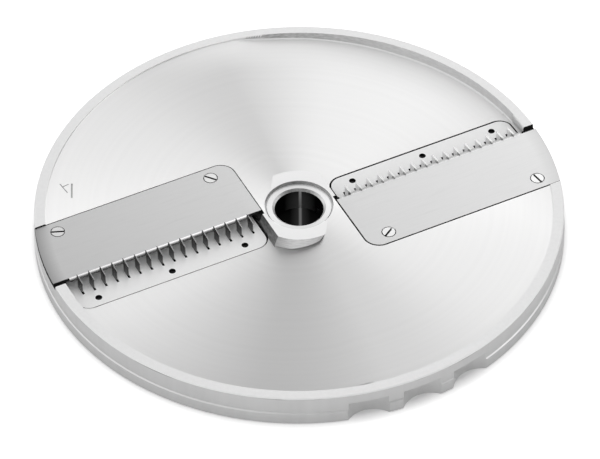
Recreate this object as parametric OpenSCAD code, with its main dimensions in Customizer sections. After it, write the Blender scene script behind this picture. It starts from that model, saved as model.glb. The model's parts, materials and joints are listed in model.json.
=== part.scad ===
// Julienne disc: a cast disc with two flat knives, and ahead of each knife a comb of small
// upright blades. The combs slit the food, and the knife behind them lifts the strips off,
// which fall through the opening under the knife. Everything is doubled by half a turn.
// Origin: on the disc's axis, in the plane it stands on. +Z up, knife b along +X.

/* [Disc casting] */
// Diameter of the disc at its top edge
disc_d = 205; // [195:1:230]
// Height of the face, which the knives lie flush with
face_z = 12.7; // [12:0.1:16]
// Height of the rim land above the face
rim_rise = 0.5; // [0.3:0.1:0.8]
// Width of the rim land
rim_w = 4.3; // [4:0.1:5]
// Width of the skirt that the disc stands on
skirt_w = 8.5; // [8:0.1:10]
// Height of the ledge on the outer wall
ledge_z = 5.1; // [4:0.1:6]
// How far the wall below the ledge stands out
ledge_out = 0.45; // [0.2:0.05:0.8]
// Thickness of the casting above its deep pockets
wall_t = 4.2; // [3.5:0.1:5]
// Thickness of the ribs under the disc
rib_t = 4; // [3:0.5:5]

/* [Ramp] */
// Height of the strips, from the comb plate up to the cutting edge
cut_h = 3.8; // [3:0.1:4]
// Angle swept by each ramp
ramp_sweep = 40; // [32:1:48]
// Angle from the knife to the ramp's low end
ramp_low_angle = 36; // [32:1:40]
// Share of the drop that the rounded entry of the ramp takes
ramp_entry = 0.42; // [0.2:0.02:0.5]
// Radius of the fillet at the foot of the ramp's walls
foot_r = 1; // [0.6:0.1:1.2]

/* [Hub] */
// Diameter of the hub land
hub_land_d = 38; // [37:0.5:40]
// Bore for the drive shaft
bore_d = 19; // [17:0.5:20]
// Wall thickness of the steel bushing
bushing_wall = 3; // [2:0.25:3.5]
// Chamfer at the mouths of the bushing
bushing_chamfer = 0.9; // [0.3:0.1:1.2]
// Gap round the bushing's top
counterbore_gap = 0.85; // [0.7:0.05:1]
// Wall left between that gap and a knife's inner end
hub_wall = 0.95; // [0.8:0.05:1.4]
// Depth of the bushing's top below the hub land
bushing_drop = 1.2; // [0.8:0.1:2]
// Width of the drive slot across the hub's underside
drive_slot_w = 6; // [5:0.5:7]
// Depth of the drive slot
drive_slot_h = 4; // [3:0.5:5]

/* [Knives] */
// Thickness of a knife
knife_t = 1.5; // [1.2:0.1:1.8]
// Distance from the centre line to the knife's rear edge
knife_rear = 34; // [33:0.5:38]
// Distance from the centre line to the cutting edge
edge_back = 2.5; // [2.2:0.1:3]
// Width of the ground bevel, seen from above
bevel_w = 1.6; // [1.2:0.1:2]
// Depth of the cutting edge below the knife's top
edge_drop = 0.5; // [0.3:0.05:0.7]
// Corner radius of the knife at its inner rear corner
knife_corner_r = 6; // [4:0.5:8]
// Width of the ear between the knife's inner end and its bevel
inner_ear_w = 5.9; // [5:0.1:7]
// Width of the ear between the bevel and the disc's edge
outer_ear_w = 6.8; // [6.5:0.1:8]
// Diameter of the screw heads
screw_head_d = 5; // [4.6:0.1:5.4]
// Diameter of the screw shanks
screw_d = 3.9; // [3.5:0.1:4]
// Distance from the centre line to the screws
screw_back = 28.9; // [28:0.1:30]
// Distance from the knife's inner end to its inner screw
screw_inset = 9.8; // [9:0.1:11]
// Distance from the disc's edge to the outer screws
screw_rim_inset = 13.2; // [12:0.1:15]

/* [Combs] */
// Distance between teeth, which is the width of a strip and one tooth
tooth_pitch = 4.8; // [4:0.2:8]
// Thickness of a tooth
tooth_t = 0.8; // [0.6:0.1:1]
// Distance from the knife's inner ear to the first tooth
tooth_start = 0.4; // [0.2:0.1:1.4]
// How far a tooth stands ahead of the centre line
tooth_front = 1.6; // [1.2:0.1:2.4]
// How far the rear tip of a tooth stands above the face
tooth_rise = 0.7; // [0.3:0.1:1]
// Thickness of a comb plate
comb_t = 2; // [1.6:0.1:2.4]
// Distance from the centre line to the plate's front edge
comb_front = 10.3; // [9.6:0.1:12]
// Distance from the centre line to the plate's rear edge, under the knife
comb_rear = 7.5; // [6:0.1:8]
// Radius of the plate's front corners
comb_corner_r = 5; // [3:0.5:6]
// Distance from the plate's front edge to its pins
pin_edge = 3.9; // [3.5:0.1:4.2]
// Distance from the plate's inner end to its first pin
pin_inset = 9.2; // [8:0.1:10]
// Distance from the plate's outer end to its last pin
pin_rim_inset = 8.4; // [8:0.1:10]
// Diameter of the sunk pins that hold a comb plate
pin_d = 2.6; // [2:0.1:2.8]
// How far the pins are sunk below the plate
pin_drop = 0.8; // [0.4:0.1:1.2]

/* [Finger notches] */
// Radius of a notch in the outer wall
notch_r = 11; // [9:0.5:12]
// Depth of a notch from the outer wall
notch_depth = 3.9; // [3:0.1:4.5]
// Angle between neighbouring notches
notch_step = 12; // [12:0.5:16]
// Thickness of the rim that stays whole above the notches
notch_roof = 4.5; // [3.5:0.1:5.5]

/* [Clearances] */
// Gap round knife a in its seat
knife_gap_a = 0.35; // [0.2:0.05:0.6]
// Gap round knife b in its seat
knife_gap_b = 0.6; // [0.2:0.05:0.6]
// Gap along the front of comb plate a
comb_gap_a = 0.3; // [0.2:0.05:0.8]
// Gap along the front of comb plate b
comb_gap_b = 0.7; // [0.2:0.05:0.8]
// Gap at the ends of a comb plate
comb_end_gap = 0.9; // [0.6:0.1:1]
// Radial gap round a screw head
head_gap = 0.35; // [0.2:0.05:0.4]
// Radial clearance of shanks, pins, teeth and bushing in their holes
fit_gap = 0.04; // [0.02:0.01:0.08]

/* [Hidden] */
$fn = 96;
over = 2; // how far a cut runs past the surface that it opens

// Heights
rim_z = face_z + rim_rise;
floor_z = face_z - edge_drop - cut_h;
ramp_drop = face_z - floor_z;
seat_z = face_z - knife_t;
comb_z = floor_z - comb_t;
hub_z = 0.8;
rib_z = 1.2;
notch_z = rim_z - notch_roof;
edge_break = 0.4;

// Radii of the casting
disc_r = disc_d / 2;
land_r = disc_r - rim_w;
skirt_in_r = disc_r + ledge_out - skirt_w;
hub_r = hub_land_d / 2;
boss_t = 3;
boss_r = hub_r + boss_t;
bushing_d = bore_d + 2 * bushing_wall;
counterbore_d = bushing_d + 2 * counterbore_gap;
counterbore_below = 0.6;
knife_in = counterbore_d / 2 + hub_wall;

// Ramp: its ruling lines run from hub to rim and pass beside the axis
ruling_offset = 6.5;
wall_draft = 0.45;
groove_w = 0.2;
groove_r = land_r + groove_w;
first_drop = 0.02;
entry_share = 0.13;
entry_power = 2;
slope_share = 0.06;
hub_reach = sqrt(hub_r * hub_r - ruling_offset * ruling_offset);
rim_reach = sqrt(groove_r * groove_r - ruling_offset * ruling_offset);
ramp_top_angle = ramp_low_angle + ramp_sweep;
entry_steps = 24;
slope_steps = 26;
flat_steps = 14;
radial_steps = 6;
foot_steps = 4;

// Straight zone between the ramp and the knife. It runs on until its hub wall meets the round one.
hub_step = 0.6;
straight_in = knife_in + hub_step;
straight_r = land_r - groove_w;
wall_foot = wall_draft * ramp_drop;
straight_lap = 0.3;
round_foot_r = hub_r + wall_foot + straight_lap;
straight_foot = straight_in + wall_foot;
straight_front = sqrt(round_foot_r * round_foot_r - straight_foot * straight_foot);
seat_lead = 0.7;
seat_front = edge_back - seat_lead;

// Opening under the knife
opening_inset = 3.6;
opening_in = straight_in + opening_inset;
opening_undercut = 1.5;
opening_r = skirt_in_r + opening_undercut;
opening_front = 3;
opening_rear = 20;
opening_flare = 4;

// Knives
bevel_in = knife_in + inner_ear_w;
bevel_out = disc_r - outer_ear_w;
ear_back = edge_back + bevel_w;
knife_inset = 0.1;
knife_r = disc_r - knife_inset;
screw_in = knife_in + screw_inset;
screw_out = disc_r - screw_rim_inset;
screw_len = 7.4;
head_h = 1.1;
slot_w = 0.8;
slot_h = 0.8;
slot_angles = [[-21.4, -50.9], [-81.2, 32.2]];

// Combs
comb_inset = 2.4;
comb_in = straight_in + comb_inset;
comb_rim_inset = 1.5;
comb_out_r = land_r - comb_rim_inset;
comb_side_gap = 0.6;
first_tooth = bevel_in + tooth_start;
tooth_end = 3;
tooth_count = floor((comb_out_r - tooth_end - first_tooth) / tooth_pitch) + 1;
tooth_rear_gap = 0.2;
tooth_rear = ear_back - tooth_rear_gap;
tooth_foot_gap = 0.1;
tooth_foot_rear = edge_back - tooth_foot_gap;
tooth_point = 0.12;
tooth_grind = 1.1;
slot_lead = 0.7;
pin_front = comb_front - pin_edge;
pin_len = 4.4;
pin_foot_gap = 0.1;
first_pin = comb_in + pin_inset;
last_pin = comb_out_r - pin_rim_inset;
pin_xs = [first_pin, (first_pin + last_pin) / 2, last_pin];

// Pockets in the underside, with ribs between them
deep_pocket_lead = 9;
deep_pocket_end = 176;
deep_rib_angles = [113, 141];
low_pocket_lead = 4;
low_rib_angles = [30, 55];
seat_wall = wall_t + 1;
seat_pocket_in = screw_in + 6;
seat_pocket_out = screw_out - 7;
seat_pocket_front = opening_rear + opening_flare + rib_t - 1;
seat_pocket_rear = knife_rear + 1;

// Node names: one blade is one node
function two_digits(n) = str(n < 10 ? "0" : "", n);
function tooth_name(side, n) = str("comb_", side, "_tooth_", two_digits(n));
tooth_names = [for (side = ["a", "b"]) for (n = [1 : tooth_count]) tooth_name(side, n)];

// Side a is side b after half a turn
module side_a() { rotate([0, 0, 180]) children(); }
module side_b() { children(); }

// A prism whose outline is drawn in (y, z) and which runs from x0 to x1
module along_x(x0, x1) {
    translate([x0, 0, 0])
        rotate([90, 0, 90])
            linear_extrude(x1 - x0)
                children();
}

// A rectangle from (x0, y0) to (x1, y1)
module area(x0, y0, x1, y1) {
    translate([x0, y0]) square([x1 - x0, y1 - y0]);
}

// A ring sector from angle a0 to a1
module sector(r0, r1, a0, a1) {
    far = 2 * r1;
    intersection() {
        difference() {
            circle(r1);
            circle(r0);
        }
        polygon([[0, 0], far * [cos(a0), sin(a0)], far * [cos((a0 + a1) / 2), sin((a0 + a1) / 2)],
                 far * [cos(a1), sin(a1)]]);
    }
}

// Ramp: depth of its floor, at a share u of the way down
function ramp_depth(u) =
    let (entry = 1 - exp(-pow(u / entry_share, entry_power)),
         slope = u * (1 - exp(-u / slope_share)))
    first_drop + (ramp_drop - first_drop) * (ramp_entry * entry + (1 - ramp_entry) * slope);

// Points of one section across the ramp, as (reach from the axis, height), for a floor depth.
// The hub's wall leans back and the rim's wall is upright. An arc joins each to the floor.
function ramp_section(depth) =
    let (foot = min(foot_r, 0.7 * depth),
         low = face_z - depth,
         lean = atan(1 / wall_draft),
         floor_in = hub_reach + wall_draft * depth + foot * tan(lean / 2),
         floor_out = rim_reach - foot,
         growth = pow(floor_out / floor_in, 1 / radial_steps))
    concat(
        [[hub_reach - wall_draft * over, face_z + over]],
        [for (i = [foot_steps : -1 : 0])
            let (a = lean * i / foot_steps)
            [floor_in - foot * sin(a), low + foot * (1 - cos(a))]],
        [for (i = [1 : radial_steps]) [floor_in * pow(growth, i), low]],
        [for (i = [1 : foot_steps])
            let (a = 90 * i / foot_steps)
            [floor_out + foot * sin(a), low + foot * (1 - cos(a))]],
        [[rim_reach, face_z + over]]);

// Angles of the sections, close together on the rounded entry
ramp_angles = concat(
    [for (i = [0 : entry_steps - 1]) ramp_top_angle - ramp_sweep * 0.36 * i / entry_steps],
    [for (i = [0 : slope_steps - 1])
        ramp_top_angle - ramp_sweep * (0.36 + 0.64 * i / slope_steps)],
    [for (i = [0 : flat_steps]) ramp_low_angle * (1 - i / flat_steps)]);

function ramp_share(angle) = min(1, (ramp_top_angle - angle) / ramp_sweep);
function on_ruling(angle, reach) =
    [reach * cos(angle) - ruling_offset * sin(angle), reach * sin(angle) + ruling_offset * cos(angle)];

// The space above one ramp: sections joined in a fan
module ramp_space() {
    sections = [for (a = ramp_angles) ramp_section(ramp_depth(ramp_share(a)))];
    rings = len(ramp_angles);
    ring = len(sections[0]);
    points = [for (k = [0 : rings - 1]) for (p = sections[k])
        let (xy = on_ruling(ramp_angles[k], p[0])) [xy[0], xy[1], p[1]]];
    skin = [for (k = [0 : rings - 2]) for (j = [0 : ring - 1])
        let (j2 = (j + 1) % ring)
        each [[k * ring + j, (k + 1) * ring + j2, k * ring + j2],
              [k * ring + j, (k + 1) * ring + j, (k + 1) * ring + j2]]];
    first_cap = [for (j = [0 : ring - 1]) j];
    last_cap = [for (j = [ring - 1 : -1 : 0]) (rings - 1) * ring + j];
    polyhedron(points, concat(skin, [first_cap, last_cap]), convexity = 6);
}

// The space above the floor between the ramp's end and the knife
module straight_space() {
    intersection() {
        translate([0, 0, floor_z - over]) cylinder(h = ramp_drop + 2 * over, r = straight_r);
        rotate([90, 0, 0])
            translate([0, 0, -straight_front])
                linear_extrude(straight_front + seat_front)
                    polygon([[straight_in - wall_draft * over, face_z + over],
                             [straight_foot, floor_z],
                             [disc_r, floor_z],
                             [disc_r, face_z + over]]);
    }
}

// Outline of a comb plate, grown by a gap at the ends and by another at the front
module comb_outline(end_gap, front_gap) {
    x0 = comb_in - end_gap;
    out_r = comb_out_r + min(end_gap, comb_side_gap);
    y0 = -comb_rear - end_gap;
    y1 = comb_front + front_gap;
    r = comb_corner_r + end_gap;
    out_x = sqrt(out_r * out_r - y1 * y1) - r + 0.6;
    intersection() {
        circle(out_r);
        union() {
            area(x0, y0, disc_r, y1 - r);
            area(x0 + r, y0, out_x, y1);
            translate([x0 + r, y1 - r]) circle(r);
            translate([out_x, y1 - r]) circle(r);
        }
    }
}

// Outline of a knife, grown by a gap
module knife_outline(gap, front, outer_r) {
    r = knife_corner_r + gap;
    x0 = knife_in - gap;
    y0 = -knife_rear - gap;
    intersection() {
        circle(outer_r);
        union() {
            area(x0 + r, y0, outer_r, -front);
            area(x0, y0 + r, outer_r, -front);
            translate([x0 + r, y0 + r]) circle(r);
        }
    }
}

module at_screws() {
    for (x = [screw_in, screw_out]) translate([x, -screw_back, 0]) children();
}

module at_pins() {
    for (x = pin_xs) translate([x, pin_front, 0]) children();
}

// The opening under a knife, with a rear wall that flares downwards
module strip_opening() {
    intersection() {
        translate([0, 0, -over]) cylinder(h = face_z + 2 * over, r = opening_r);
        along_x(opening_in, disc_r)
            polygon([[-seat_front, floor_z], [-seat_front, face_z + over],
                     [-opening_rear, face_z + over], [-opening_rear, seat_z],
                     [-opening_rear - opening_flare, -over], [-opening_front, -over],
                     [-opening_front, floor_z]]);
    }
}

// A pocket in the underside, cut up to the height top
module under_pocket(top) {
    translate([0, 0, -over]) linear_extrude(top + over) children();
}

module ribs(angles) {
    for (a = angles) rotate(a) area(0, -rib_t / 2, disc_r, rib_t / 2);
}

// What is cut from the casting on each side
module side_cuts(knife_gap, comb_gap) {
    ramp_space();
    straight_space();
    translate([0, 0, seat_z])
        linear_extrude(knife_t + rim_rise + over)
            knife_outline(knife_gap, seat_front, disc_r + over);
    translate([0, 0, comb_z])
        linear_extrude(comb_t + ramp_drop)
            comb_outline(comb_end_gap, comb_gap);
    strip_opening();
    at_screws()
        translate([0, 0, seat_z - screw_len])
            cylinder(h = screw_len + over, d = screw_d + 2 * fit_gap);
    at_pins()
        translate([0, 0, comb_z - pin_len])
            cylinder(h = pin_len + over, d = pin_d + 2 * fit_gap);

    // Deep pockets under the face, between the ramp and the other knife
    under_pocket(face_z - wall_t)
        difference() {
            intersection() {
                sector(boss_r, skirt_in_r, ramp_top_angle + deep_pocket_lead, deep_pocket_end);
                area(-disc_r, knife_rear + rib_t, disc_r, disc_r);
            }
            ribs(deep_rib_angles);
        }

    // Shallow pockets under the low floor
    under_pocket(floor_z - wall_t)
        difference() {
            intersection() {
                sector(boss_r, skirt_in_r, 0, ramp_top_angle + low_pocket_lead);
                area(0, comb_front + rib_t, disc_r, disc_r);
            }
            ribs(low_rib_angles);
        }

    // Pocket under the knife's seat, between its screws
    under_pocket(seat_z - seat_wall)
        area(seat_pocket_in, -seat_pocket_rear, seat_pocket_out, -seat_pocket_front);

    finger_notches();
}

// Three round notches in the outer wall, open below and closed above by the rim
module finger_notches() {
    centre_r = disc_r + ledge_out - notch_depth + notch_r;
    for (k = [-1 : 1])
        rotate([0, 0, 90 + k * notch_step])
            translate([centre_r, 0, -over])
                cylinder(h = notch_z + over, r = notch_r);
}

// Turned outline of the whole casting, before it is cut
module disc_blank() {
    bush_r = bushing_d / 2 + fit_gap;
    rotate_extrude()
        polygon([[bush_r, hub_z], [boss_r, hub_z], [boss_r, rib_z], [skirt_in_r, rib_z],
                 [skirt_in_r, 0], [disc_r + ledge_out - edge_break, 0],
                 [disc_r + ledge_out, edge_break], [disc_r + ledge_out, ledge_z],
                 [disc_r, ledge_z + ledge_out], [disc_r, rim_z - edge_break],
                 [disc_r - edge_break, rim_z], [land_r, rim_z], [land_r, face_z],
                 [bush_r, face_z]]);
}

module disc_casting() {
    color("gainsboro")
        difference() {
            disc_blank();
            side_b() side_cuts(knife_gap_b, comb_gap_b);
            side_a() side_cuts(knife_gap_a, comb_gap_a);
            translate([0, 0, face_z - bushing_drop - counterbore_below])
                cylinder(h = bushing_drop + counterbore_below + over, d = counterbore_d);
            translate([-disc_r / 2, -drive_slot_w / 2, -over])
                cube([disc_r, drive_slot_w, hub_z + drive_slot_h + over]);
        }
}

// Bushing: a tube with chamfered mouths and the drive slot across its foot
module hub_bushing() {
    top = face_z - bushing_drop;
    r0 = bore_d / 2;
    r1 = bushing_d / 2;
    color("silver")
        difference() {
            rotate_extrude()
                polygon([[r0, hub_z + bushing_chamfer], [r0 + bushing_chamfer, hub_z],
                         [r1, hub_z], [r1, top],
                         [r0 + bushing_chamfer, top], [r0, top - bushing_chamfer]]);
            translate([-bushing_d, -drive_slot_w / 2, -over])
                cube([2 * bushing_d, drive_slot_w, hub_z + drive_slot_h + over]);
        }
}

// Knife: flat plate, ground from above and below to the cutting edge between its two ears
module knife() {
    color("lightgray")
        difference() {
            translate([0, 0, seat_z])
                linear_extrude(knife_t)
                    difference() {
                        knife_outline(0, edge_back, knife_r);
                        area(0, -ear_back, bevel_in, 0);
                        area(bevel_out, -ear_back, disc_r + over, 0);
                    }
            along_x(bevel_in - 0.01, bevel_out + 0.01)
                polygon([[-ear_back, face_z], [-edge_back + 0.001, face_z - edge_drop],
                         [over, face_z - edge_drop], [over, face_z + over],
                         [-ear_back, face_z + over]]);
            along_x(bevel_in - 0.01, bevel_out + 0.01)
                polygon([[-ear_back - bevel_w, seat_z], [-edge_back + 0.001, face_z - edge_drop - 0.1],
                         [over, face_z - edge_drop - 0.1], [over, seat_z - over],
                         [-ear_back - bevel_w, seat_z - over]]);
            at_screws() screw_hole();
        }
}

// Countersunk hole through a knife
module screw_hole() {
    shank_r = screw_d / 2 + fit_gap;
    head_r = screw_head_d / 2 + head_gap;
    rotate_extrude()
        polygon([[0, seat_z - over], [shank_r, seat_z - over], [shank_r, face_z - head_h],
                 [head_r, face_z - 0.2], [head_r, face_z + over], [0, face_z + over]]);
}

// Slotted countersunk screw, standing on the origin of its hole
module knife_screw(slot_angle) {
    foot_z = seat_z - screw_len + 0.2;
    difference() {
        rotate_extrude()
            polygon([[0, foot_z], [screw_d / 2 - 0.4, foot_z], [screw_d / 2, foot_z + 0.5],
                     [screw_d / 2, face_z - head_h + 0.1], [screw_head_d / 2, face_z - 0.3],
                     [screw_head_d / 2, face_z], [0, face_z]]);
        rotate([0, 0, slot_angle])
            translate([-screw_head_d, -slot_w / 2, face_z - slot_h])
                cube([2 * screw_head_d, slot_w, slot_h + over]);
    }
}

module screw_pair(angles) {
    translate([screw_out, -screw_back, 0]) knife_screw(angles[0]);
    translate([screw_in, -screw_back, 0]) knife_screw(angles[1]);
}

module knife_screws() {
    color("silver") {
        side_a() screw_pair(slot_angles[0]);
        side_b() screw_pair(slot_angles[1]);
    }
}

// Comb plate: its slots run from the tooth's foot a little way ahead of it
module comb_plate() {
    color("whitesmoke")
        translate([0, 0, comb_z])
            linear_extrude(comb_t)
                difference() {
                    comb_outline(0, 0);
                    for (n = [1 : tooth_count])
                        area(tooth_x(n) - tooth_t / 2 - fit_gap, -tooth_foot_rear - fit_gap,
                             tooth_x(n) + tooth_t / 2 + fit_gap, tooth_front + slot_lead);
                    at_pins() circle(d = pin_d + 2 * fit_gap);
                }
}

function tooth_x(n) = first_tooth + (n - 1) * tooth_pitch;

// Tooth: an upright lancet, ground sharp in front and pointed where it meets the knife
module comb_tooth(n) {
    half = tooth_t / 2;
    point = tooth_point / 2;
    color("lightgray")
        translate([tooth_x(n), 0, 0])
            intersection() {
                translate([0, 0, comb_z])
                    linear_extrude(ramp_drop + comb_t + over)
                        polygon([[-half, -tooth_foot_rear], [-point, -tooth_rear],
                                 [point, -tooth_rear], [half, -tooth_foot_rear],
                                 [half, tooth_front - tooth_grind], [point, tooth_front],
                                 [-point, tooth_front], [-half, tooth_front - tooth_grind]]);
                along_x(-tooth_t, tooth_t)
                    polygon([[tooth_front, comb_z], [tooth_front, face_z - 0.05],
                             [-tooth_rear, face_z + tooth_rise], [-tooth_rear, face_z + 0.1],
                             [-tooth_foot_rear, face_z - edge_drop + 0.12],
                             [-tooth_foot_rear, comb_z]]);
            }
}

// Pins sunk in the comb plates
module comb_pins() {
    color("dimgray")
        for (turn = [0, 180])
            rotate([0, 0, turn])
                at_pins()
                    translate([0, 0, comb_z - pin_len + pin_foot_gap])
                        cylinder(h = comb_t - pin_drop + pin_len - pin_foot_gap, d = pin_d);
}

disc_casting();
hub_bushing();
side_a() knife();  // knife_a
side_b() knife();  // knife_b
side_a() comb_plate();  // comb_plate_a
side_b() comb_plate();  // comb_plate_b
knife_screws();
comb_pins();
for (n = [1 : tooth_count]) {
    side_a() comb_tooth(n);
    side_b() comb_tooth(n);
}
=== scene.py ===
import json
import math

import bpy
from mathutils import Matrix, Vector


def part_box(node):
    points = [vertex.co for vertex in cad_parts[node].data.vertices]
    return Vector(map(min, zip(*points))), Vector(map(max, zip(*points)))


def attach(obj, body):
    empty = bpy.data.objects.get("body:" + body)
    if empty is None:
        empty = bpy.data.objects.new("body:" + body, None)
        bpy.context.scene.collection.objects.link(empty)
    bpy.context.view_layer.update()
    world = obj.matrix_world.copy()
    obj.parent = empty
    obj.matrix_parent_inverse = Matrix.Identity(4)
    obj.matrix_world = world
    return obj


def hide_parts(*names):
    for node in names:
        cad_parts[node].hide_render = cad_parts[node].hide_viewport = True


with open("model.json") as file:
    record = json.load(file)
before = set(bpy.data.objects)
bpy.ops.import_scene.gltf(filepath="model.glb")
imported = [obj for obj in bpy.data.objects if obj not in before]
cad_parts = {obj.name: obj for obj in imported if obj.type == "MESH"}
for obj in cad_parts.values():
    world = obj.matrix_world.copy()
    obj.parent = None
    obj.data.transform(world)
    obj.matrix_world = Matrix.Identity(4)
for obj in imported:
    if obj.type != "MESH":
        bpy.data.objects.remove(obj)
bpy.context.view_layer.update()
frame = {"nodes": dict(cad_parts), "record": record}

nodes = frame["nodes"]


# Disc: one aluminium casting. Its face and ramps are turned bright, so they carry fine rings
# round the axis, and its lands are satin. Walls are milled or polished, and the underside and its
# pockets stay as they came from the mould.
def merged_copy(node):
    """A copy of a CAD node with its loose triangles joined, shown in place of the node."""
    bpy.ops.object.select_all(action="DESELECT")
    nodes[node].select_set(True)
    bpy.context.view_layer.objects.active = nodes[node]
    bpy.ops.object.duplicate()
    piece = bpy.context.view_layer.objects.active
    piece.name = node + ".finished"
    piece.data.name = piece.name
    for key in list(piece.keys()):
        if key.startswith("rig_"):
            del piece[key]
    bpy.ops.object.mode_set(mode="EDIT")
    bpy.ops.mesh.select_all(action="SELECT")
    bpy.ops.mesh.remove_doubles(threshold=2e-6)
    bpy.ops.object.mode_set(mode="OBJECT")
    bpy.ops.mesh.customdata_custom_splitnormals_clear()
    piece.data.materials.clear()
    return piece


def smooth(piece, degrees):
    """Rounds the shading up to that angle, while flat faces beside narrow ones stay flat."""
    bpy.ops.object.select_all(action="DESELECT")
    piece.select_set(True)
    bpy.context.view_layer.objects.active = piece
    bpy.ops.object.shade_smooth_by_angle(angle=math.radians(degrees))
    weighted = piece.modifiers.new("flat_faces", "WEIGHTED_NORMAL")
    weighted.keep_sharp = True
    bpy.ops.object.modifier_apply(modifier=weighted.name)


def stands_for(piece, node):
    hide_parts(node)
    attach(piece, "root")


def metal(name, roughness, anisotropy=0.0):
    material = bpy.data.materials.new(name)
    material.use_nodes = True
    shader = material.node_tree.nodes["Principled BSDF"]
    shader.inputs["Metallic"].default_value = 1.0
    shader.inputs["Roughness"].default_value = roughness
    shader.inputs["Anisotropic"].default_value = anisotropy
    return material, material.node_tree, shader


def feed(tree, node, *values):
    """Sets a node's inputs in order, from another node's output or from a constant."""
    for socket, value in zip(node.inputs, values):
        if isinstance(value, bpy.types.NodeSocket):
            tree.links.new(value, socket)
        elif value is not None:
            socket.default_value = value


def vector_step(tree, operation, *values):
    node = tree.nodes.new("ShaderNodeVectorMath")
    node.operation = operation
    feed(tree, node, *values)
    return node.outputs["Value" if operation in ("LENGTH", "DOT_PRODUCT") else "Vector"]


def number_step(tree, operation, *values):
    node = tree.nodes.new("ShaderNodeMath")
    node.operation = operation
    feed(tree, node, *values)
    return node.outputs["Value"]


def object_point(tree):
    return tree.nodes.new("ShaderNodeTexCoord").outputs["Object"]


def radius_from_axis(tree, point):
    return vector_step(tree, "LENGTH", vector_step(tree, "MULTIPLY", point, (1, 1, 0)))


def angle_about_axis(tree, point):
    split = tree.nodes.new("ShaderNodeSeparateXYZ")
    tree.links.new(point, split.inputs["Vector"])
    return number_step(tree, "ARCTAN2", split.outputs["Y"], split.outputs["X"])


def spread(tree, value, low, high, to_low, to_high):
    """Maps low..high onto to_low..to_high, and stops at both ends."""
    node = tree.nodes.new("ShaderNodeMapRange")
    feed(tree, node, value, low, high, to_low, to_high)
    return node.outputs["Result"]


def blended(tree, share, first, second):
    node = tree.nodes.new("ShaderNodeMix")
    node.data_type = "RGBA"
    for socket, value in ((node.inputs[0], share), (node.inputs[6], first), (node.inputs[7], second)):
        if isinstance(value, bpy.types.NodeSocket):
            tree.links.new(value, socket)
        else:
            socket.default_value = value
    return node.outputs[2]


def grey(level, warmth=0.0):
    return (level * (1 + warmth), level, level * (1 - warmth), 1)


def ring_noise(tree, point, rings_per_m, detail=2.0):
    """Noise that changes with the radius alone, as turning leaves it."""
    noise = tree.nodes.new("ShaderNodeTexNoise")
    noise.noise_dimensions = "1D"
    tree.links.new(radius_from_axis(tree, point), noise.inputs["W"])
    noise.inputs["Scale"].default_value = rings_per_m
    noise.inputs["Detail"].default_value = detail
    return noise.outputs["Fac"]


def stretched_noise(tree, point, scale, detail=2.0):
    """Noise with its own scale along each axis, given in spots a metre."""
    noise = tree.nodes.new("ShaderNodeTexNoise")
    tree.links.new(vector_step(tree, "MULTIPLY", point, scale), noise.inputs["Vector"])
    noise.inputs["Scale"].default_value = 1.0
    noise.inputs["Detail"].default_value = detail
    return noise.outputs["Fac"]


def with_painted_corner_shade(tree, shader, color, reach_m, corner_level, unshaded_from=0.4):
    """Colours the shader, with painted shade that darkens it in narrow gaps and corners."""
    shade = tree.nodes.new("ShaderNodeAmbientOcclusion")
    shade.samples = 8
    shade.inputs["Distance"].default_value = reach_m
    open_share = spread(tree, shade.outputs["AO"], 0.08, unshaded_from, 0.0, 1.0)
    tree.links.new(blended(tree, open_share, grey(corner_level), color), shader.inputs["Base Color"])


def bump(tree, shader, height, depth_m, normal=None):
    node = tree.nodes.new("ShaderNodeBump")
    node.inputs["Strength"].default_value = 1.0
    node.inputs["Distance"].default_value = depth_m
    tree.links.new(height, node.inputs["Height"])
    if normal:
        tree.links.new(normal, node.inputs["Normal"])
    tree.links.new(node.outputs["Normal"], shader.inputs["Normal"])


def blended_ramp_normal(tree, point):
    """Normals that lean the same way from a knife to past the ramp's top, so no edge shows there."""
    r = radius_from_axis(tree, point)
    from_knife = number_step(tree, "WRAP", angle_about_axis(tree, point), math.pi, 0.0)
    lean = spread(tree, from_knife, math.radians(54), math.radians(84), 0.075, 0.0)
    along_ring = vector_step(tree, "NORMALIZE", vector_step(tree, "CROSS_PRODUCT", point, (0, 0, 1)))
    scaled = tree.nodes.new("ShaderNodeVectorMath")
    scaled.operation = "SCALE"
    tree.links.new(along_ring, scaled.inputs["Vector"])
    tree.links.new(lean, scaled.inputs["Scale"])
    leaning = vector_step(tree, "ADD", scaled.outputs["Vector"], (0, 0, 1))
    surface = tree.nodes.new("ShaderNodeNewGeometry")
    upward = vector_step(tree, "DOT_PRODUCT", surface.outputs["True Normal"], (0, 0, 1))
    on_floor = spread(tree, upward, 0.44, 0.50, 0.0, 1.0)
    for low, high, to_low, to_high in ((0.0189, 0.0192, 0.0, 1.0), (0.0970, 0.0974, 1.0, 0.0)):
        on_floor = number_step(tree, "MULTIPLY", on_floor, spread(tree, r, low, high, to_low, to_high))
    mixed = tree.nodes.new("ShaderNodeMix")
    mixed.data_type = "VECTOR"
    for socket, value in (
        (mixed.inputs[0], on_floor),
        (mixed.inputs[4], surface.outputs["Normal"]),
        (mixed.inputs[5], leaning),
    ):
        tree.links.new(value, socket)
    return vector_step(tree, "NORMALIZE", mixed.outputs[1])


# rough across the rings, smooth along them
turned_aluminium, tree, shader = metal("turned_aluminium", 0.366, 0.889)
point = object_point(tree)
tone = blended(tree, ring_noise(tree, point, 450), grey(0.915, 0.002), grey(0.95, 0.002))
with_painted_corner_shade(tree, shader, tone, 0.0012, 0.04)
tree.links.new(vector_step(tree, "MULTIPLY", point, (1, 1, 0)), shader.inputs["Tangent"])
bump(tree, shader, ring_noise(tree, point, 5200), 0.6e-6, blended_ramp_normal(tree, point))
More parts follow.
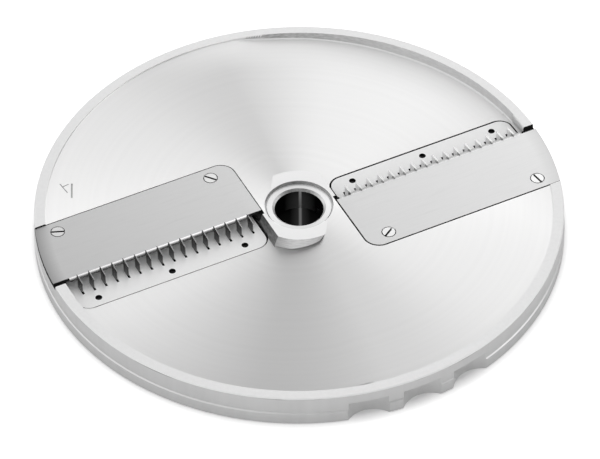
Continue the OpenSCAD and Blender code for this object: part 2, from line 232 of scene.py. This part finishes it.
# a less metallic patch is a painted highlight: the pale band that the photo shows on the floor before the
# far rim wall
band_turn = math.radians(35)
toward_band = vector_step(tree, "DOT_PRODUCT", point, (math.cos(band_turn), math.sin(band_turn), 0))
by_wall = spread(tree, radius_from_axis(tree, point), 0.080, 0.092, 0.0, 0.85)
painted_highlight_band = number_step(tree, "MULTIPLY", by_wall, spread(tree, toward_band, 0.035, 0.065, 0.0, 1.0))
tree.links.new(number_step(tree, "SUBTRACT", 1.0, painted_highlight_band), shader.inputs["Metallic"])

# the photo shows the top lands of rim and hub nearly white, without the fans of the turned face
satin_land, tree, shader = metal("satin_land", 0.5)
shader.inputs["Metallic"].default_value = 0.35
point = object_point(tree)
darker_toward_rim = blended(tree, stretched_noise(tree, point, (700, 700, 700), 3.0), grey(0.88), grey(0.96))
hub_to_rim = spread(tree, radius_from_axis(tree, point), 0.02, 0.09, 0.0, 1.0)
with_painted_corner_shade(tree, shader, blended(tree, hub_to_rim, grey(1.0), darker_toward_rim), 0.0008, 0.04)

bright_edge, tree, shader = metal("bright_edge", 0.30)
shader.inputs["Base Color"].default_value = grey(0.92)

milled_wall, tree, shader = metal("milled_wall", 0.30)
shader.inputs["Metallic"].default_value = 0.6
point = object_point(tree)
light_cut = blended(tree, stretched_noise(tree, point, (500, 500, 1500)), grey(0.62), grey(0.86))
mottled_far_tone = blended(tree, stretched_noise(tree, point, (420, 420, 1500), 4.0), grey(0.0), grey(0.9))
# from 38 to 72 degrees round the axis the wall turns darker and mottled, and stays so beyond
far_share = spread(tree, angle_about_axis(tree, point), math.radians(38), math.radians(72), 0.1, 0.9)
with_painted_corner_shade(tree, shader, blended(tree, far_share, light_cut, mottled_far_tone), 0.0012, 0.01, 0.5)

# the hub's wall is streaked, and painted darkest, as shade, where it runs straight beside the combs
hub_wall, tree, shader = metal("hub_wall", 0.4)
shader.inputs["Metallic"].default_value = 0.6
point = object_point(tree)
surface = tree.nodes.new("ShaderNodeNewGeometry")
facing = vector_step(tree, "DOT_PRODUCT", surface.outputs["Normal"], (1, 0, 0))
painted_shade_share = spread(tree, number_step(tree, "ABSOLUTE", facing), 0.5, 0.9, 0.0, 1.0)
streaks = stretched_noise(tree, point, (420, 420, 3200), 4.0)
light_streaks = blended(tree, streaks, grey(0.50), grey(1.0))
shaded_streaks = blended(tree, stretched_noise(tree, point, (420, 420, 1400), 4.0), grey(0.0), grey(0.42))
with_painted_corner_shade(tree, shader, blended(tree, painted_shade_share, light_streaks, shaded_streaks), 0.0012, 0.02)

# the gaps round knives and combs are near black in the photo, and are painted near black as shade
painted_gap_shade, tree, shader = metal("painted_gap_shade", 0.7)
shader.inputs["Metallic"].default_value = 0.0
shader.inputs["Specular IOR Level"].default_value = 0.1
tone = blended(tree, stretched_noise(tree, object_point(tree), (900, 900, 900)), grey(0.006), grey(0.03))
tree.links.new(tone, shader.inputs["Base Color"])

polished_wall, tree, shader = metal("polished_wall", 0.33)
point = object_point(tree)
tone = blended(tree, stretched_noise(tree, point, (260, 260, 40)), grey(0.68), grey(0.76))
rim_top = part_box("disc_casting")[1].z
height = tree.nodes.new("ShaderNodeSeparateXYZ")
tree.links.new(point, height.inputs["Vector"])
# a painted shadow: a broken dark line just under the rim's top edge
under_land = spread(tree, height.outputs["Z"], rim_top - 0.9e-3, rim_top - 0.6e-3, 0.0, 1.0)
in_places = spread(tree, stretched_noise(tree, point, (45, 45, 0)), 0.5, 0.7, 0.0, 0.8)
painted_shadow_line = number_step(tree, "MULTIPLY", under_land, in_places)
with_painted_corner_shade(tree, shader, blended(tree, painted_shadow_line, tone, grey(0.06)), 0.0012, 0.05)

cast_skin, tree, shader = metal("cast_skin", 0.55)
point = object_point(tree)
grain = stretched_noise(tree, point, (1500, 1500, 1500))
with_painted_corner_shade(tree, shader, blended(tree, grain, grey(0.44), grey(0.60)), 0.004, 0.12)
bump(tree, shader, grain, 0.04e-3)

disc = merged_copy("disc_casting")

# Number: a 4, struck into the face beside knife a with three straight chisels. It is read as the
# width of the strips in millimetres.
stamp_depth, stroke_high = 0.14e-3, 0.4e-3
face_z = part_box("knife_a")[1].z
strokes = (
    ((-0.0778, 0.0525), (-0.0772, 0.0467), 0.40e-3),
    ((-0.0773, 0.0506), (-0.0748, 0.0508), 0.34e-3),
    ((-0.0736, 0.0505), (-0.0769, 0.0433), 0.62e-3),
)
bpy.ops.object.select_all(action="DESELECT")
chisels = []
for start, end, width in strokes:
    run_x, run_y = end[0] - start[0], end[1] - start[1]
    middle = ((start[0] + end[0]) / 2, (start[1] + end[1]) / 2, face_z - stamp_depth + stroke_high / 2)
    bpy.ops.mesh.primitive_cube_add(
        size=1.0,
        location=middle,
        rotation=(0, 0, math.atan2(run_y, run_x)),
        scale=(math.hypot(run_x, run_y), width, stroke_high),
    )
    chisel = bpy.context.view_layer.objects.active
    bpy.ops.object.transform_apply(location=True, rotation=True, scale=True)
    bpy.ops.object.mode_set(mode="EDIT")
    bpy.ops.mesh.select_all(action="SELECT")
    bpy.ops.mesh.bevel(offset=0.11e-3, segments=2, affect="EDGES")
    bpy.ops.object.mode_set(mode="OBJECT")
    chisels.append(chisel)
for chisel in chisels:
    struck = disc.modifiers.new("struck", "BOOLEAN")
    struck.operation = "DIFFERENCE"
    struck.solver = "EXACT"
    struck.object = chisel
    bpy.context.view_layer.objects.active = disc
    bpy.ops.object.modifier_apply(modifier=struck.name)
    bpy.data.objects.remove(chisel)

struck_mark, tree, shader = metal("struck_mark", 0.5)
shader.inputs["Base Color"].default_value = grey(0.5)

disc.data.materials.clear()
for material in (
    turned_aluminium,
    satin_land,
    bright_edge,
    milled_wall,
    hub_wall,
    painted_gap_shade,
    polished_wall,
    struck_mark,
    cast_skin,
):
    disc.data.materials.append(material)
TURNED, LAND, BRIGHT, MILLED, HUB, SHADED_GAP, POLISHED, STRUCK, CAST = range(9)
knife_boxes = [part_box(name) for name in ("knife_a", "knife_b")]
comb_boxes = [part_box(name) for name in ("comb_plate_a", "comb_plate_b")]
stroke_ends = [(*end, face_z) for stroke in strokes for end in stroke[:2]]
mark_box = [Vector([limit(values) for values in zip(*stroke_ends)]) for limit in (min, max)]
plate_margin, mark_margin = 0.9e-3, 1.2e-3
low_floor_z = comb_boxes[0][1].z
comb_ledge_z, wall_foot_z = 0.006, low_floor_z - 0.1e-3
bushing_seat_r, hub_top_r, hub_wall_r = 0.0135, 0.0192, 0.0225
land_inner_r, notch_inner_r, seat_end_r = 0.0972, 0.0985, 0.1024
hair = 0.02e-3


def beside(centre, boxes, margin):
    """Whether a point lies under or beside one of the boxes, as seen from above."""
    for low, high in boxes:
        if low.x - margin < centre.x < high.x + margin and low.y - margin < centre.y < high.y + margin:
            return True
    return False


def finish_of(centre, up, reach):
    """A face's finish, by its centre, its slope and how far it reaches from the axis."""
    r = math.hypot(centre.x, centre.y)
    in_seat = abs(up) < 0.5 or centre.z < face_z - 1.0e-3
    if beside(centre, [mark_box], mark_margin) and centre.z > low_floor_z:
        return STRUCK if centre.z < face_z - hair else TURNED
    if beside(centre, knife_boxes, plate_margin) and low_floor_z < centre.z and in_seat and r < seat_end_r:
        return SHADED_GAP
    if beside(centre, comb_boxes, plate_margin) and comb_ledge_z < centre.z < low_floor_z - hair:
        return SHADED_GAP
    if up > 0.5 and centre.z > wall_foot_z:
        return LAND if r > land_inner_r or reach < hub_top_r else TURNED
    if r > notch_inner_r and abs(up) < 0.9:
        return POLISHED
    if centre.z > face_z:
        return BRIGHT
    if centre.z > wall_foot_z:
        return HUB if bushing_seat_r < r < hub_wall_r else MILLED
    return CAST


for face in disc.data.polygons:
    reach = max(disc.data.vertices[corner].co.xy.length for corner in face.vertices)
    face.material_index = finish_of(face.center, face.normal.z, reach)
smooth(disc, 28)
stands_for(disc, "disc_casting")


# Bushing: a turned steel tube, pressed into the middle of the hub. The photo shows its bore dark,
# apart from one bright upright line. Here the bore is painted shade, and the line a painted reflection.
turned_steel, tree, shader = metal("turned_steel", 0.30, 0.6)
point = object_point(tree)
tone = blended(tree, ring_noise(tree, point, 2600), grey(0.66), grey(0.76))
with_painted_corner_shade(tree, shader, tone, 0.0015, 0.03)
tree.links.new(vector_step(tree, "MULTIPLY", point, (1, 1, 0)), shader.inputs["Tangent"])

# the bore's mouth is light, and dark and mottled round its far side near 70 degrees
mottled_mouth, tree, shader = metal("mottled_mouth", 0.45)
point = object_point(tree)
off_far_side = number_step(
    tree, "ABSOLUTE", number_step(tree, "SUBTRACT", angle_about_axis(tree, point), math.radians(70))
)
far_side_share = spread(tree, off_far_side, math.radians(30), math.radians(75), 1.0, 0.0)
mottled_tone = blended(tree, stretched_noise(tree, point, (900, 900, 900), 4.0), grey(0.04), grey(0.62))
tree.links.new(blended(tree, far_side_share, grey(0.92), mottled_tone), shader.inputs["Base Color"])

# painted shade: the bore is near black, with a painted reflection line at 61 degrees and a haze round it
painted_bore_shade, tree, shader = metal("painted_bore_shade", 0.6)
shader.inputs["Metallic"].default_value = 0.0
shader.inputs["Specular IOR Level"].default_value = 0.05
point = object_point(tree)
angle = angle_about_axis(tree, point)
reflection_line_turn = math.radians(61)
off_line = number_step(tree, "ABSOLUTE", number_step(tree, "SUBTRACT", angle, reflection_line_turn))
painted_reflection_line = spread(tree, off_line, math.radians(1.5), math.radians(4.5), 0.40, 0.0)
reflection_haze = spread(tree, off_line, math.radians(4), math.radians(40), 0.14, 0.004)
height = tree.nodes.new("ShaderNodeSeparateXYZ")
tree.links.new(point, height.inputs["Vector"])
toward_top = spread(tree, height.outputs["Z"], 0.002, 0.010, 1.0, 0.25)
low_reflection_haze = number_step(tree, "MULTIPLY", reflection_haze, toward_top)
bright = number_step(tree, "ADD", painted_reflection_line, low_reflection_haze)
bore_tone = tree.nodes.new("ShaderNodeCombineXYZ")
feed(tree, bore_tone, bright, bright, bright)
tree.links.new(bore_tone.outputs["Vector"], shader.inputs["Base Color"])

bushing = merged_copy("hub_bushing")
for material in (turned_steel, painted_bore_shade, mottled_mouth):
    bushing.data.materials.append(material)
bore_r = frame["record"]["mounts"][0]["dims"]["r_mm"] / 1000
for face in bushing.data.polygons:
    inside = math.hypot(face.center.x, face.center.y) < bore_r + 0.05e-3
    if inside and abs(face.normal.z) < 0.5:
        face.material_index = 1
    elif 0.5 < face.normal.z < 0.9:
        face.material_index = 2
smooth(bushing, 28)
stands_for(bushing, "hub_bushing")


# Knives: two flat stainless plates, brushed lengthwise, each held in its seat by two screws.
# The front edge has a ground bevel, and the gap round each plate is painted near black as shade.
def brushed_knife(name, level, darker_toward_rim):
    material, tree, shader = metal(name, 0.36, 0.9)
    point = object_point(tree)
    fine = stretched_noise(tree, point, (60, 3600, 60))
    smear = stretched_noise(tree, point, (70, 700, 70), 3.0)
    tone = blended(tree, fine, grey(level * 0.965), grey(level * 1.035))
    smeared = blended(tree, spread(tree, smear, 0.55, 0.75, 0.0, 0.5), tone, grey(level * 0.94))
    # each knife is darker towards its outer end
    outer_end_share = spread(tree, radius_from_axis(tree, point), 0.0965, 0.1023, 0.0, darker_toward_rim)
    smeared = blended(tree, outer_end_share, smeared, grey(0.34))
    with_painted_corner_shade(tree, shader, smeared, 0.0015, 0.02, 0.45)
    across = tree.nodes.new("ShaderNodeCombineXYZ")
    across.inputs["Y"].default_value = 1.0
    tree.links.new(across.outputs["Vector"], shader.inputs["Tangent"])
    bump(tree, shader, fine, 0.5e-6)
    return material


# the knives are alike: knife a and its bevel are painted lighter and knife b and its bevel darker, as
# light and shade
for name, level, darker_toward_rim, bevel_level in (("knife_a", 0.96, 0.6, 0.95), ("knife_b", 0.92, 0.2, 0.5)):
    bevel, tree, shader = metal("bevel_" + name, 0.22)
    shader.inputs["Base Color"].default_value = grey(bevel_level)
    knife = merged_copy(name)
    for material in (brushed_knife("brushed_" + name, level, darker_toward_rim), bevel, painted_gap_shade):
        knife.data.materials.append(material)
    for face in knife.data.polygons:
        slope = abs(face.normal.z)
        if slope < 0.3:
            face.material_index = 2
        elif slope < 0.99 and abs(face.center.y) < 0.006:
            face.material_index = 1
    smooth(knife, 20)
    stands_for(knife, name)


# Combs: two stainless plates with a satin surface, let into the low ends of the ramps. Each is
# held at three pin holes, and has sixteen slots along its knife for the teeth.
satin_plate, tree, shader = metal("satin_plate", 0.45)
shader.inputs["Metallic"].default_value = 0.15
point = object_point(tree)
tone = blended(tree, stretched_noise(tree, point, (300, 300, 300)), grey(0.91), grey(0.97))
with_painted_corner_shade(tree, shader, tone, 0.0006, 0.02, 0.45)
for name in ("comb_plate_a", "comb_plate_b"):
    plate = merged_copy(name)
    plate.data.materials.append(satin_plate)
    plate.data.materials.append(painted_gap_shade)
    for face in plate.data.polygons:
        face.material_index = 1 if abs(face.normal.z) < 0.3 else 0
    smooth(plate, 20)
    stands_for(plate, name)


# Teeth: small upright steel blades, each pressed into a slot of its comb plate and ground to an
# edge in front. The photo shows one flat side dark and the other bright; the dark side is painted shade.
def tooth_with_painted_shade(name, shaded_side):
    material, tree, shader = metal(name, 0.25)
    point = object_point(tree)
    normal = tree.nodes.new("ShaderNodeNewGeometry").outputs["True Normal"]
    faces_dark_side = vector_step(tree, "DOT_PRODUCT", normal, (shaded_side, 0, 0))
    painted_shade_share = spread(tree, faces_dark_side, 0.90, 0.96, 0.0, 1.0)
    # the painted shade reaches over half of the top
    first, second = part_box("comb_b_tooth_01"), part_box("comb_b_tooth_02")
    split = tree.nodes.new("ShaderNodeSeparateXYZ")
    tree.links.new(point, split.inputs["Vector"])
    pitch = second[0].x - first[0].x
    out_along = number_step(tree, "ABSOLUTE", split.outputs["X"])
    across = number_step(tree, "WRAP", number_step(tree, "SUBTRACT", out_along, first[0].x), pitch, 0.0)
    on_top = spread(tree, vector_step(tree, "DOT_PRODUCT", normal, (0, 0, 1)), 0.8, 0.9, 0.0, 1.0)
    if shaded_side < 0:
        far_half = spread(tree, across, 0.25e-3, 0.35e-3, 0.0, 1.0)
        top_share = number_step(tree, "MULTIPLY", on_top, far_half)
        painted_shade_share = number_step(tree, "MAXIMUM", painted_shade_share, top_share)
    bright = blended(tree, stretched_noise(tree, point, (2500, 2500, 400)), grey(0.66), grey(0.82))
    dark = blended(tree, stretched_noise(tree, point, (900, 500, 500), 3.0), grey(0.0), grey(0.10))
    # the painted shade is lighter near the tooth's foot
    front_grey = spread(tree, split.outputs["Z"], low_floor_z, low_floor_z + 2.2e-3, 0.4, 0.0)
    dark = blended(tree, front_grey, dark, grey(0.30))
    with_painted_corner_shade(tree, shader, blended(tree, painted_shade_share, bright, dark), 0.0008, 0.03)
    return material


tooth_painted_shade = {"a": tooth_with_painted_shade("ground_tooth_a", -1), "b": tooth_with_painted_shade("ground_tooth_b", 1)}
for name, node in nodes.items():
    if "_tooth_" in name:
        node.data.materials.clear()
        node.data.materials.append(tooth_painted_shade[name.split("_")[1]])


# Screws: four countersunk steel screws with one slot each, two for each knife. Their turned heads
# are flush with the knives, and all below the heads is painted near black as shade.
turned_screw, tree, shader = metal("turned_screw", 0.3)
point = object_point(tree)
tone = blended(tree, stretched_noise(tree, point, (1200, 1200, 1200)), grey(0.66), grey(0.76))
with_painted_corner_shade(tree, shader, tone, 0.0012, 0.03)
screws = merged_copy("knife_screws")
screws.data.materials.append(turned_screw)
screws.data.materials.append(painted_gap_shade)
for face in screws.data.polygons:
    face.material_index = 0 if face.normal.z > 0.95 and face.center.z > face_z - 0.2e-3 else 1
smooth(screws, 28)
stands_for(screws, "knife_screws")


# Pins: six small pins, three in each comb plate and sunk below its top, painted near black as the
# shade in their holes. They stand for whatever holds the combs, since the photo shows only dark holes.
shaded_pin, tree, shader = metal("shaded_pin", 0.4)
speckle = stretched_noise(tree, object_point(tree), (1800, 1800, 1800))
tree.links.new(blended(tree, speckle, grey(0.005), grey(0.06)), shader.inputs["Base Color"])
pins = merged_copy("comb_pins")
pins.data.materials.append(shaded_pin)
smooth(pins, 28)
stands_for(pins, "comb_pins")


# Studio: a white floor and a white room. The room that the metal mirrors is fitted to the photo's
# brightness: a tall bright window behind the disc, one at its right, and a dim ceiling between.
bpy.ops.object.select_all(action="DESELECT")
bpy.ops.mesh.primitive_circle_add(vertices=96, radius=4.0, fill_type="NGON", location=(0, 0, 0))
floor = bpy.context.view_layer.objects.active
floor.name = "studio_floor"
floor_paint = bpy.data.materials.new("floor_paint")
floor_paint.use_nodes = True
tree = floor_paint.node_tree
tree.nodes.clear()
out = tree.nodes.new("ShaderNodeOutputMaterial")
floor_r = radius_from_axis(tree, object_point(tree))
diffuse = tree.nodes.new("ShaderNodeBsdfDiffuse")
# the photo's bore is dark all the way down, so the floor under it is painted near black as shade
tree.links.new(
    blended(tree, spread(tree, floor_r, 0.012, 0.014, 0.0, 1.0), grey(0.01), grey(0.9)),
    diffuse.inputs["Color"],
)
glow = tree.nodes.new("ShaderNodeEmission")
floor_path = tree.nodes.new("ShaderNodeLightPath")
outer_glow = spread(tree, floor_r, 0.100, 0.108, 0.0, 0.72)
# through the bore the camera sees that floor with a painted reflection: a glowing stripe that carries the
# bore's bright line on across it
along = tree.nodes.new("ShaderNodeSeparateXYZ")
tree.links.new(object_point(tree), along.inputs["Vector"])
view_turn = math.radians(63.7)
off_stripe = number_step(
    tree,
    "SUBTRACT",
    number_step(tree, "MULTIPLY", along.outputs["X"], math.sin(view_turn)),
    number_step(tree, "MULTIPLY", along.outputs["Y"], math.cos(view_turn)),
)
off_stripe = number_step(tree, "ABSOLUTE", number_step(tree, "SUBTRACT", off_stripe, 0.45e-3))
painted_reflection_stripe = number_step(
    tree,
    "ADD",
    spread(tree, off_stripe, 0.2e-3, 0.8e-3, 0.11, 0.0),
    spread(tree, off_stripe, 0.5e-3, 4e-3, 0.018, 0.0),
)
painted_reflection_glow = number_step(tree, "MULTIPLY", painted_reflection_stripe, spread(tree, floor_r, 0.012, 0.0125, 1.0, 0.0))
both_glows = number_step(tree, "ADD", outer_glow, painted_reflection_glow)
seen_glow = number_step(tree, "MULTIPLY", floor_path.outputs["Is Camera Ray"], both_glows)
tree.links.new(seen_glow, glow.inputs["Strength"])
both = tree.nodes.new("ShaderNodeAddShader")
tree.links.new(diffuse.outputs["BSDF"], both.inputs[0])
tree.links.new(glow.outputs["Emission"], both.inputs[1])
tree.links.new(both.outputs["Shader"], out.inputs["Surface"])
floor.data.materials.append(floor_paint)


def room_direction(right_of_view, height):
    """A direction in the room, by its angle to the right of straight behind the disc."""
    turn = view_turn - math.radians(right_of_view)
    rise = math.radians(height)
    return (math.cos(rise) * math.cos(turn), math.cos(rise) * math.sin(turn), math.sin(rise))


room = bpy.data.worlds.new("white_room")
bpy.context.scene.world = room
room.use_nodes = True
tree = room.node_tree
tree.nodes.clear()
out = tree.nodes.new("ShaderNodeOutputWorld")
looked = vector_step(tree, "NORMALIZE", tree.nodes.new("ShaderNodeTexCoord").outputs["Generated"])
mirrored_level = 1.13
# right of view, height and width in degrees, and how much lighter or darker
room_patches = (
    (14, 25, 9, 2.0),
    (11, 46, 9, 2.0),
    (62, 61, 37, -1.8),
    (83, 38, 16, 2.0),
)
for right_of_view, rise, width, gain in room_patches:
    nearness = vector_step(tree, "DOT_PRODUCT", looked, room_direction(right_of_view, rise))
    short_of_centre = number_step(tree, "SUBTRACT", nearness, 1.0)
    falloff = number_step(tree, "DIVIDE", short_of_centre, math.radians(width) ** 2)
    patch = number_step(tree, "MULTIPLY", number_step(tree, "EXPONENT", falloff), gain)
    mirrored_level = number_step(tree, "ADD", mirrored_level, patch)
mirrored_level = number_step(tree, "MINIMUM", number_step(tree, "MAXIMUM", mirrored_level, 0.03), 2.4)
mirrored = tree.nodes.new("ShaderNodeBackground")
mirrored.inputs["Color"].default_value = (1, 1, 1, 1)
tree.links.new(mirrored_level, mirrored.inputs["Strength"])
seen = tree.nodes.new("ShaderNodeBackground")
seen.inputs["Color"].default_value = (1, 1, 1, 1)
soft = tree.nodes.new("ShaderNodeBackground")
soft.inputs["Color"].default_value = (1, 1, 1, 1)
soft.inputs["Strength"].default_value = 0.75
ray = tree.nodes.new("ShaderNodeLightPath").outputs
glossy_mix = tree.nodes.new("ShaderNodeMixShader")
feed(tree, glossy_mix, ray["Is Glossy Ray"], soft.outputs["Background"], mirrored.outputs["Background"])
seen_by = number_step(tree, "MAXIMUM", ray["Is Camera Ray"], ray["Is Transmission Ray"])
room_mix = tree.nodes.new("ShaderNodeMixShader")
feed(tree, room_mix, seen_by, glossy_mix.outputs["Shader"], seen.outputs["Background"])
tree.links.new(room_mix.outputs["Shader"], out.inputs["Surface"])

softbox_lamp = bpy.data.lights.new("softbox", "AREA")
softbox_lamp.shape = "DISK"
softbox_lamp.size = 1.2
softbox_lamp.energy = 3.0
softbox = bpy.data.objects.new("softbox", softbox_lamp)
bpy.context.scene.collection.objects.link(softbox)
softbox.location = (0.2, 0.5, 1.6)
softbox.rotation_mode = "QUATERNION"
softbox.rotation_quaternion = softbox.location.to_track_quat("Z", "Y")
softbox.visible_glossy = False


# Camera: a long lens, half way up, that looks at a point just in front of the hub. Its place,
# turn and lens are fitted to the photo's outlines.
look_at = Vector((-0.00574, -0.01228, 0.0127))
distance, elevation, azimuth, roll = 1.5342, math.radians(45.0), math.radians(-26.28), -0.486
camera_data = bpy.data.cameras.new("camera")
camera_data.sensor_width = 36
camera_data.lens = 239.4
camera_data.clip_start, camera_data.clip_end = 0.05, 50
camera = bpy.data.objects.new("camera", camera_data)
bpy.context.scene.collection.objects.link(camera)
back = Vector(
    (
        math.sin(azimuth) * math.cos(elevation),
        -math.cos(azimuth) * math.cos(elevation),
        math.sin(elevation),
    )
)
camera.rotation_mode = "QUATERNION"
turn = Matrix.Rotation(math.radians(roll), 4, back).to_quaternion()
camera.rotation_quaternion = turn @ (-back).to_track_quat("-Z", "Y")
camera.location = look_at + back * distance
bpy.context.scene.camera = camera
bpy.context.scene.view_settings.view_transform = "Standard"
